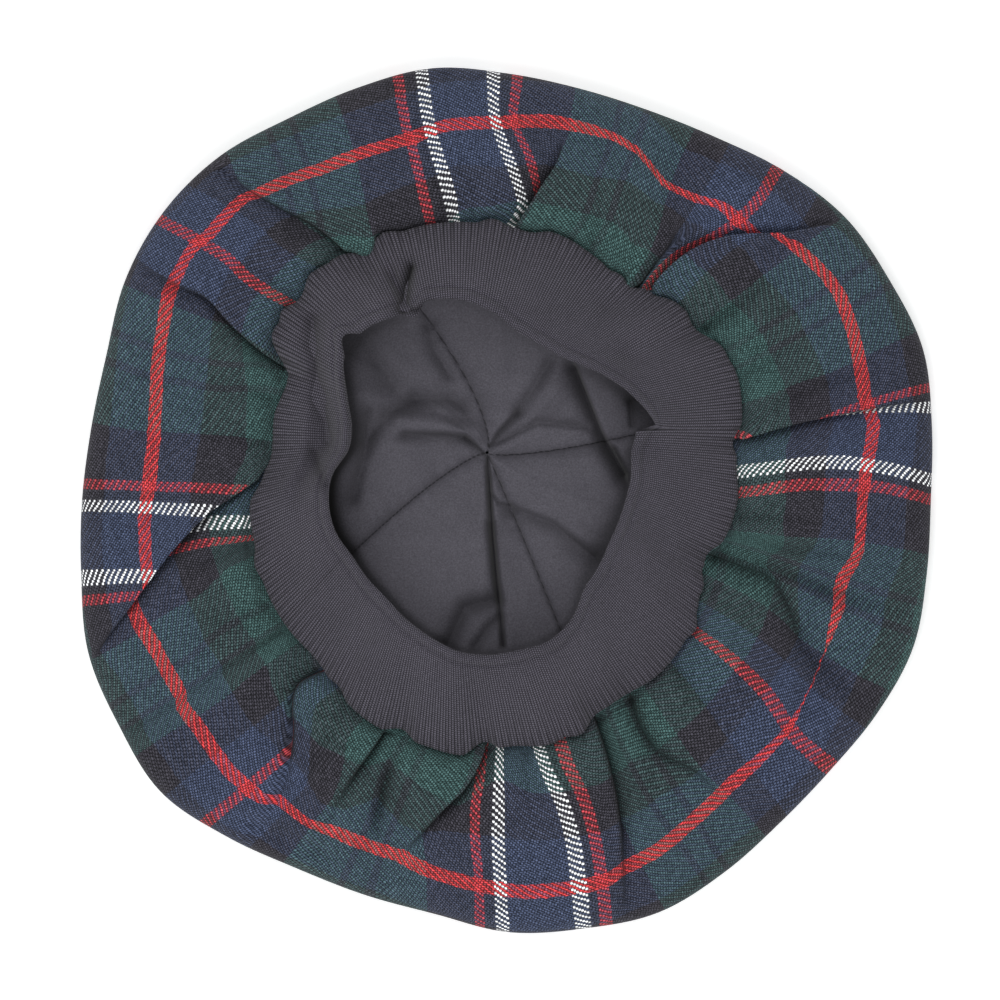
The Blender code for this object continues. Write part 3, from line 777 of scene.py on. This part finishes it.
def make_grid(name, points, cloth, shade, material, node, flip=False, closed=False):
    """One smooth mesh from rows of points, with its cloth places and shade."""
    rows, count = points.shape[:2]
    index = np.arange(rows * count).reshape(rows, count)
    if closed:
        index = np.vstack([index, index[:1]])
    a = index[:-1, :-1].ravel()
    b = index[:-1, 1:].ravel()
    c = index[1:, 1:].ravel()
    d = index[1:, :-1].ravel()
    quads = np.column_stack([a, d, c, b] if flip else [a, b, c, d])
    mesh = bpy.data.meshes.new(name)
    mesh.vertices.add(rows * count)
    mesh.vertices.foreach_set("co", (points.reshape(-1) * MM).astype(np.float32))
    mesh.loops.add(quads.size)
    mesh.loops.foreach_set("vertex_index", quads.ravel().astype(np.int32))
    mesh.polygons.add(len(quads))
    mesh.polygons.foreach_set("loop_start", np.arange(0, quads.size, 4, dtype=np.int32))
    mesh.polygons.foreach_set("loop_total", np.full(len(quads), 4, dtype=np.int32))
    mesh.update(calc_edges=True)
    mesh.validate()
    mesh.shade_smooth()
    layer = mesh.attributes.new("cloth", "FLOAT_VECTOR", "POINT")
    flat = np.zeros((rows * count, 3), np.float32)
    flat[:, :cloth.shape[2]] = cloth.reshape(rows * count, -1)
    layer.data.foreach_set("vector", flat.ravel())
    layer = mesh.attributes.new("shade", "FLOAT", "POINT")
    layer.data.foreach_set("value", np.clip(shade, 0, 1).ravel().astype(np.float32))
    mesh.materials.append(material)
    obj = bpy.data.objects.new(name, mesh)
    bpy.context.scene.collection.objects.link(obj)
    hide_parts(node)
    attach(obj, "root")
    return obj


# ---------------------------------------------------------------- band
def build_band_surface():
    """Points, knit places and shade of the band, a closed loop of rows."""
    azimuth = BAND_JOIN + np.linspace(0, 360, BAND_COLUMNS + 1)
    outer = around(azimuth, seam_radius(azimuth) - SEAM_GAP)
    edge = pushed(edge_radius(azimuth), azimuth, EDGE_SHAPES)
    centre, beyond, fade, before, sink = EDGE_STEP
    away = turn(azimuth, centre)
    step = np.where(away > 0, beyond * np.exp(-away / fade), before * np.exp(away / sink))
    step = around(azimuth, step)
    inner = around(azimuth, edge, EDGE_CENTRE)
    wide = np.hypot(*(outer - inner).T)
    at = spread(BAND_CLOSENESS, BAND_ROWS + 1)[:-1]
    rows = np.arange(len(BAND_PROFILE) + 1)
    share, height = (smooth(rows, values, at) for values in zip(*BAND_PROFILE, BAND_PROFILE[0]))
    share = np.clip(share, 0.0, 1.0)
    level_sway = sway(azimuth)
    points, places, shades = [], [], []
    centres = fold_centres(1.0)
    depths = np.array([row[LAP - 1] for row in FOLDS])
    for i in range(BAND_ROWS):
        plan = outer + share[i] * (inner - outer) + share[i] ** STEP_POWER * step
        level = height[i] + level_sway
        shade = np.zeros(len(azimuth))
        for centre, length, place, width, rise in BAND_SHAPES:
            near = hump(turn(azimuth, centre) / length) * hump((share[i] - place) / width)
            level += rise * near
            rate, most = HOLLOW_SHADE
            shade = np.maximum(shade, near ** 1.5 * min(most, rate * rise))
        top = at[i] < BAND_TOP_ROWS
        radius = np.hypot(plan[:, 0], plan[:, 1])
        if top:
            for row in BAND_CREASES:
                near = crease_near(*plan.T, row)
                over, least = CREASE_END
                level -= row[6] * near * ease_in((1 - share[i]) / over + least)
                shade = np.maximum(shade, row[9] * near)
            pull = np.zeros(len(azimuth))
            gain, width, fade = PULL
            for centre, depth in zip(centres, depths):
                pull += gain * depth * fall(np.radians(turn(azimuth, centre)) * radius, width)
            level -= pull * np.exp(-share[i] / fade)
            for rise, size, seed in BAND_WANDERS:
                level += rise * wander(*plan.T, size, seed) * hump(share[i] - 0.5)
            for place, rise, width in HEM:
                level += rise * fall((1 - share[i]) * wide - place, width)
            join = np.minimum(azimuth - BAND_JOIN, BAND_JOIN + 360 - azimuth)
            groove, width = JOIN_GROOVE
            level -= groove * fall(np.radians(join) * radius, width)
        points.append(np.column_stack([plan, level]))
        shades.append(shade)
        wales = (azimuth - BAND_JOIN) / 360.0 * WALES
        along = share[i] * wide
        places.append(np.column_stack([wales, along, np.full(len(azimuth), float(top))]))
    return np.array(points), np.array(places), np.array(shades)


# ---------------------------------------------------------------- lining
def segment_distance(x, y, row):
    """Distance to the line from one point to another."""
    x0, y0, x1, y1 = row
    dx = x1 - x0
    dy = y1 - y0
    length = np.hypot(dx, dy)
    along = ((x - x0) * dx + (y - y0) * dy) / length
    across = ((x - x0) * dy - (y - y0) * dx) / length
    beyond = np.maximum(0.0, np.maximum(-along, along - length))
    return np.hypot(across, beyond)


def bend_along(part):
    """Share of a seam's bow at one part of its run, most of it near the start."""
    return np.sin(np.pi * np.clip(part, 0.0, 1.0) ** BOW_POWER)


def crease_near(x, y, row):
    """Closeness to a crease, 1 on it: its two sides fall off at their own rates."""
    nearest = np.full(np.shape(x), 1e9)
    side = np.zeros(np.shape(x))
    for k in (0, 2):
        x0, y0, x1, y1 = row[k:k + 4]
        away = segment_distance(x, y, (x0, y0, x1, y1))
        left = ((x1 - x0) * (y - y0) - (y1 - y0) * (x - x0)) / np.hypot(x1 - x0, y1 - y0)
        closer = away < nearest
        side = np.where(closer, 0.5 + 0.5 * np.tanh(left / 0.6), side)
        nearest = np.where(closer, away, nearest)
    reach = row[7] * side + row[8] * (1 - side)
    return fall(nearest, reach, 1.5)


def edge_shade(x, y):
    """Share of light lost under the band's free edge."""
    dx = x - EDGE_CENTRE[0]
    dy = y - EDGE_CENTRE[1]
    azimuth = np.degrees(np.arctan2(dy, dx))
    inside = edge_radius(azimuth) - np.hypot(dx, dy)
    amount, reach = (ring_table(EDGE_SHADES, k, azimuth) for k in (1, 2))
    return amount * fall(np.maximum(inside, 0.0), EDGE_SHADE_GAIN * reach, EDGE_SHADE_POWER)


def lining_surface(index):
    """Points, cloth places and shade of one quarter of the lining."""
    start = LINING_SEAMS[index]
    sweep = (LINING_SEAMS[(index + 1) % len(LINING_SEAMS)] - start) % 360.0
    across = np.linspace(0.0, 1.0, GORE_COLUMNS)
    azimuth = start + sweep * across
    edge = around(azimuth, seam_radius(azimuth) - LINING_INSET)
    centre = np.array(PINCH)
    length = np.linalg.norm(edge - centre, axis=1)
    ray = (edge - centre) / length[:, None]
    top = LINING_HIGH + sway(azimuth)
    rows, places, shades = [], [], []
    for reach in np.linspace(0.0, 1.0, GORE_ROWS):
        run = PINCH_RADIUS + reach * (length - PINCH_RADIUS)
        part = run / length
        normal = np.column_stack([-ray[:, 1], ray[:, 0]])
        bow = LINING_BOWS[index] * (1 - across) \
            + LINING_BOWS[(index + 1) % len(LINING_BOWS)] * across
        plan = centre + run[:, None] * ray + (bow * bend_along(part))[:, None] * normal
        x, y = plan.T
        level = LINING_LOW + (top - LINING_LOW) * part ** LINING_CURVE
        level += LINING_RISE * ease_in((part - RISE_START) / RISE_SPAN)
        inside = 4.0 * part * (1.0 - part)
        level += LINING_PUFFS[index] * np.sin(np.pi * across) * inside
        for row in LINING_FOLDS:
            near = segment_distance(x, y, row[:4]) / row[5]
            fade = np.clip(part / FADE_START, 0, 1) * np.clip((1 - part) / FADE_END, 0, 1)
            level += row[4] * fade * hump(near * 0.7)
        shade = np.zeros(GORE_COLUMNS)
        for row in LINING_CREASES:
            near = crease_near(x, y, row)
            ends = ease_in((1 - part) / FADE_END)
            level -= row[6] * near * ease_in(run / CREASE_RUN) * ends
            shade = np.maximum(shade, row[9] * near)
        shade = 1 - (1 - shade) * (1 - edge_shade(x, y))
        seam = np.minimum(across, 1 - across) * np.radians(sweep) * run
        groove, width = SEAM_GROOVE
        level -= groove * np.exp(-seam / width) * ease_in(run / SEAM_START)
        pucker, width = SEAM_PUCKER
        ripple = pucker * np.exp(-seam / width) * np.sin(run * 1.3 + index)
        level += ripple * ease_in(run / SEAM_START)
        for rise, size, seed in LINING_WANDERS:
            level += rise * wander(x, y, size, seed) * ease_in(run / WANDER_RUN)
        rows.append(np.column_stack([x, y, np.maximum(level, LINING_LEAST)]))
        side = np.where(across < 0.5, seam, -seam)
        places.append(np.column_stack([x, y, side]))
        shades.append(shade)
    return np.array(rows), np.array(places), np.array(shades)


# ---------------------------------------------------------------- materials
# Each cloth: roughness, grain of its fibres, grain of its broad unevenness,
# bump strength, bump height in metres, sheen, specular level
CLOTHS = {
    "tartan_cloth": (0.9, 2600.0, 34.0, 0.7, 0.00035, 0.05, 0.15),
    "knit_cloth": (0.92, 2200.0, 45.0, 0.6, 0.0003, 0.12, 0.2),
    "lining_cloth": (0.72, 1800.0, 40.0, 0.35, 0.00015, 0.10, 0.25),
}
KNIT_COLOUR = (0.077, 0.072, 0.091)
LINING_COLOUR = (0.107, 0.102, 0.123)
# Twill threads: how square across, how bowed along, height of weft to warp
THREAD_ROUND = 0.45
THREAD_BOW = 1.2
WEFT_HEIGHT = 0.80
# Colour that a dark thread takes from its neighbours, and that the red weft
# lends to the warp over it where that is duller than DULL
BORROWED = 0.72
LENT = 0.3
DULL = 0.14
# In millimetres: one stitch of the knit along its rib, the lining's weave,
# its sewing stitches and half the width of their line
STITCH = 0.72
LINING_WEAVE = 0.42
SEWING = 2.2
SEWING_HALF = 0.26


class Value:
    """Output of a shader's node; arithmetic with it makes more nodes."""

    def __init__(self, socket):
        self.socket = socket
        self.tree = socket.id_data

    def __add__(self, other):
        return calc("ADD", self, other)

    def __radd__(self, other):
        return calc("ADD", other, self)

    def __sub__(self, other):
        return calc("SUBTRACT", self, other)

    def __rsub__(self, other):
        return calc("SUBTRACT", other, self)

    def __mul__(self, other):
        return calc("MULTIPLY", self, other)

    def __truediv__(self, other):
        return calc("DIVIDE", self, other)


def feed(socket, value):
    """Sets a socket to a number or a colour, or links a Value to it."""
    if isinstance(value, Value):
        value.tree.links.new(value.socket, socket)
    elif isinstance(value, tuple):
        socket.default_value = (*value, 1.0)
    else:
        socket.default_value = value


def new_node(kind, *values):
    """A node in the tree of the first Value, its first sockets fed in order."""
    tree = next(value.tree for value in values if isinstance(value, Value))
    node = tree.nodes.new(kind)
    for socket, value in zip(node.inputs, values):
        feed(socket, value)
    return node


def calc(operation, *values):
    node = new_node("ShaderNodeMath", *values)
    node.operation = operation
    return Value(node.outputs[0])


def wave(value, rate):
    return calc("SINE", value * rate)


def blend(kind, factor, first, second):
    """Two colours mixed or multiplied; each is a colour or a Value."""
    tree = next(value.tree for value in (factor, first, second) if isinstance(value, Value))
    node = tree.nodes.new("ShaderNodeMix")
    node.data_type = "RGBA"
    node.blend_type = kind
    node.clamp_factor = True
    for index, value in ((0, factor), (6, first), (7, second)):
        feed(node.inputs[index], value)
    return Value(node.outputs[2])


def brightness(colour):
    return Value(new_node("ShaderNodeRGBToBW", colour).outputs[0])


def noise(place, scale, detail=2.0):
    node = new_node("ShaderNodeTexNoise", place)
    node.inputs["Scale"].default_value = scale
    node.inputs["Detail"].default_value = detail
    return Value(node.outputs["Fac"])


def cell_noise(x, y):
    place = Value(new_node("ShaderNodeCombineXYZ", x, y).outputs[0])
    node = new_node("ShaderNodeTexWhiteNoise", place)
    node.noise_dimensions = "2D"
    return Value(node.outputs["Value"])


def attribute(tree, name, output):
    node = tree.nodes.new("ShaderNodeAttribute")
    node.attribute_name = name
    return Value(node.outputs[output])


def new_material(name, roughness):
    material = bpy.data.materials.new(name)
    material.use_nodes = True
    shader = material.node_tree.nodes["Principled BSDF"]
    shader.inputs["Roughness"].default_value = roughness
    return material, shader


def start_cloth(name):
    """A cloth's material, its places in the cloth, position and two noises."""
    roughness, fine, coarse = CLOTHS[name][:3]
    material, _ = new_material(name, roughness)
    tree = material.node_tree
    parts = new_node("ShaderNodeSeparateXYZ", attribute(tree, "cloth", "Vector")).outputs
    position = Value(tree.nodes.new("ShaderNodeNewGeometry").outputs["Position"])
    return (material, [Value(part) for part in parts], position,
            noise(position, fine, 3.0), noise(position, coarse, 3.0))


def end_cloth(material, colour, light, relief):
    """Colour under the light that the folds leave, relief, sheen and gloss."""
    tree = material.node_tree
    inputs = tree.nodes["Principled BSDF"].inputs
    strength, height, sheen, specular = CLOTHS[material.name][3:]
    light = light * (1.0 - attribute(tree, "shade", "Fac"))
    grey = Value(new_node("ShaderNodeCombineColor", light, light, light).outputs[0])
    feed(inputs["Base Color"], blend("MULTIPLY", 1.0, colour, grey))
    bump = tree.nodes.new("ShaderNodeBump")
    feed(bump.inputs["Strength"], strength)
    feed(bump.inputs["Distance"], height)
    feed(bump.inputs["Height"], relief)
    feed(inputs["Normal"], Value(bump.outputs[0]))
    feed(inputs["Sheen Weight"], sheen)
    feed(inputs["Sheen Roughness"], 0.5)
    feed(inputs["Specular IOR Level"], specular)
    return material


def sett_colour(place):
    """Thread colour at a place in the repeat."""
    folded = calc("PINGPONG", place, HALF_SETT) / HALF_SETT
    ramp = new_node("ShaderNodeValToRGB", folded)
    ramp.color_ramp.interpolation = "CONSTANT"
    stops = ramp.color_ramp.elements
    start = 0.0
    for k, (end, name) in enumerate(SETT):
        stop = stops[k] if k < len(stops) else stops.new(start / HALF_SETT)
        stop.position = start / HALF_SETT
        stop.color = (*THREADS[name], 1.0)
        start = end
    return Value(ramp.outputs["Color"])


def thread_height(across, along):
    """Height of a thread: round across, bowed where it floats over two others."""
    dome = wave(calc("FRACT", across), np.pi)
    bow = wave(calc("FLOORED_MODULO", along, 4.0), np.pi / 2)
    return calc("POWER", dome, THREAD_ROUND) \
        * calc("POWER", calc("MAXIMUM", bow, 0.0), THREAD_BOW)


def tartan_material():
    """Two over two twill: radial warp threads and weft threads round the hat."""
    material, place, position, fuzz, broad = start_cloth("tartan_cloth")
    wobble = (noise(position, 260.0) - 0.5) * 0.9
    drift = (noise(position, 310.0) - 0.5) * 0.7
    warp = (place[0] + wobble) / WARP_PITCH
    weft = (place[1] + drift) / WEFT_PITCH
    i = calc("FLOOR", warp)
    j = calc("FLOOR", weft)
    # Warp lies on top where (i - j) mod 4 is 0 or 1
    on_top = calc("LESS_THAN", calc("FLOORED_MODULO", i - j, 4.0), 1.5)
    high_warp = thread_height(warp, i - weft + 1.0)
    high_weft = thread_height(weft, warp - j + 2.0)
    high = high_warp * on_top + high_weft * WEFT_HEIGHT * (1.0 - on_top)
    # Weft threads take their colour from the distance to the red line
    from_ring = calc("ABSOLUTE", place[2] + wobble)
    ring = calc("LESS_THAN", from_ring, RING_HALF)
    beside = sett_colour(calc("MAXIMUM", from_ring, 3.0) + HALF_SETT)
    weft_colour = blend("MIX", ring, beside, RING_RED)
    warp_colour = sett_colour((i + 0.5) * WARP_PITCH)
    colour = blend("MIX", on_top, weft_colour, warp_colour)
    # Dark threads borrow colour from the threads they cross
    warp_bright = brightness(warp_colour)
    brightest = calc("MAXIMUM", brightness(weft_colour), warp_bright)
    borrow = calc("MINIMUM", calc("MAXIMUM", 2.0 - brightest * 9.0, 0.0), 1.0)
    both = blend("MIX", 0.5, weft_colour, warp_colour)
    colour = blend("MIX", borrow * BORROWED, colour, both)
    covered = ring * on_top * calc("LESS_THAN", warp_bright, DULL)
    colour = blend("MIX", covered * LENT, colour, RING_RED)
    # Every float of thread has its own random tone and fibres show; painted shade darkens the gaps
    # between threads, and the lower weft floats, by their height
    own = cell_noise(i * on_top + j, calc("FLOOR", (i - weft) * 0.25) + i)
    light = (0.02 + high * 1.86) * (0.62 + own * 0.76) \
        * (0.40 + fuzz * 1.20) * (0.85 + broad * 0.30)
    return end_cloth(material, colour, light, high + fuzz * 0.5)


def knit_material():
    """Fine knit: columns of small V stitches with grooves between them."""
    material, place, position, fuzz, broad = start_cloth("knit_cloth")
    wale = calc("FRACT", place[0])
    mid = calc("ABSOLUTE", wale - 0.5)
    rib = wave(wale, np.pi)
    stitch = 0.5 + wave(place[1] / STITCH + mid * 1.1, 2 * np.pi) * 0.5
    centre = wave(mid, np.pi) * 0.4
    high = rib * 0.28 + centre * 0.1 + stitch * rib * 1.02
    # Near the seam the ribs bunch in twos and threes
    bunch = wave(place[0] + noise(position, 60.0) * 3.0, 2 * np.pi / 2.5)
    bunch = calc("POWER", (bunch + 1.0) * 0.5, 3.0)
    close = calc("EXPONENT", place[1] * -0.16)
    high = high * (1.0 - bunch * close * 0.6)
    # Painted shade: where the knit is low, in the grooves between ribs and stitches and between
    # bunched ribs, it is darker
    light = (0.02 + high * 1.68) * (0.20 + fuzz * 1.60) * (0.84 + broad * 0.32)
    return end_cloth(material, KNIT_COLOUR, light, high + fuzz * 0.4)


def lining_material():
    """Smooth close weave with a dark line of stitches along each seam."""
    material, place, _, fuzz, broad = start_cloth("lining_cloth")
    rate = 2 * np.pi / LINING_WEAVE
    weave = wave(place[0], rate) * wave(place[1], rate)
    dash = calc("GREATER_THAN", wave(place[0] + place[1], 2 * np.pi / SEWING), -0.35)
    beside_seam = calc("LESS_THAN", calc("ABSOLUTE", place[2]), SEWING_HALF)
    light = (0.94 + weave * 0.09) * (0.40 + fuzz * 1.20) \
        * (1.0 - dash * beside_seam * 0.45) * (0.92 + broad * 0.16)
    return end_cloth(material, LINING_COLOUR, light, weave + fuzz * 1.2)


# ---------------------------------------------------------------- stage
# The photo's width and scale in pixels, and how far right of its middle the
# hat's origin lies.  The scale holds at SHARP_HEIGHT, in metres.
PHOTO_SIZE = 1000.0
PIXELS_PER_MM = 3.0
CENTRE_SHIFT = 8.5
SENSOR = 36.0
CAMERA_HEIGHT = 3.0
SHARP_HEIGHT = 0.014
WHITE = (1.0, 1.0, 1.0)
SKY_LIGHT = 0.34
# The floor, in metres: half size, gap under the hat
FLOOR_HALF = 3.0
FLOOR_GAP = 0.0004
FLOOR_COLOUR = (0.93, 0.93, 0.93)
FLOOR_GLOW = 0.42
# Lamps: name, place, size, power
LAMPS = (("key", (0.0, -0.80, 1.5), 1.1, 13.5), ("fill", (-0.35, 0.75, 1.6), 1.1, 11.0))


def build_stage():
    """Pale floor, soft light from above and a camera straight above."""
    mesh = bpy.data.meshes.new("floor")
    far = FLOOR_HALF
    mesh.from_pydata([(-far, -far, 0), (far, -far, 0), (far, far, 0), (-far, far, 0)],
                     [], [(0, 1, 2, 3)])
    floor = bpy.data.objects.new("floor", mesh)
    floor.location = (0, 0, -FLOOR_GAP)
    bpy.context.scene.collection.objects.link(floor)
    material, shader = new_material("floor_pale", 0.8)
    feed(shader.inputs["Base Color"], FLOOR_COLOUR)
    feed(shader.inputs["Emission Color"], WHITE)
    feed(shader.inputs["Emission Strength"], FLOOR_GLOW)
    mesh.materials.append(material)
    world = bpy.data.worlds.new("studio")
    world.use_nodes = True
    bpy.context.scene.world = world
    back = world.node_tree.nodes["Background"]
    feed(back.inputs[0], WHITE)
    feed(back.inputs[1], SKY_LIGHT)
    for name, place, size, power in LAMPS:
        light = bpy.data.lights.new(name, "AREA")
        light.size = size
        light.energy = power
        lamp = bpy.data.objects.new(name, light)
        lamp.location = place
        lamp.rotation_euler = (-Vector(place)).to_track_quat("-Z", "Y").to_euler()
        bpy.context.scene.collection.objects.link(lamp)
    camera = bpy.data.cameras.new("camera")
    camera.sensor_width = SENSOR
    camera.lens = SENSOR * (CAMERA_HEIGHT - SHARP_HEIGHT) / (PHOTO_SIZE / PIXELS_PER_MM * MM)
    camera.clip_end = 20.0
    view = bpy.data.objects.new("camera", camera)
    view.location = (-CENTRE_SHIFT / PIXELS_PER_MM * MM, 0.0, CAMERA_HEIGHT)
    bpy.context.scene.collection.objects.link(view)
    bpy.context.scene.camera = view
    bpy.context.scene.view_settings.view_transform = "Standard"


def main():
    tartan = tartan_material()
    knit = knit_material()
    lining = lining_material()
    column, points, cloth, radii, shade = build_shell_surface()
    rows, places = crown_rows(column, points, cloth, radii)
    shade = np.vstack([np.zeros((CROWN_ROWS, len(column))), shade])
    make_grid("tartan_shell", rows, places, shade, tartan, "tartan_crown")
    points, places, shade = build_band_surface()
    make_grid("ribbed_band", points, places, shade, knit, "knit_band", closed=True)
    for index in range(len(LINING_SEAMS)):
        points, places, shade = lining_surface(index)
        make_grid("lining_quarter_" + str(index + 1), points, places, shade, lining,
                  "lining_gore_" + str(index + 1), flip=True)
    build_stage()


main()
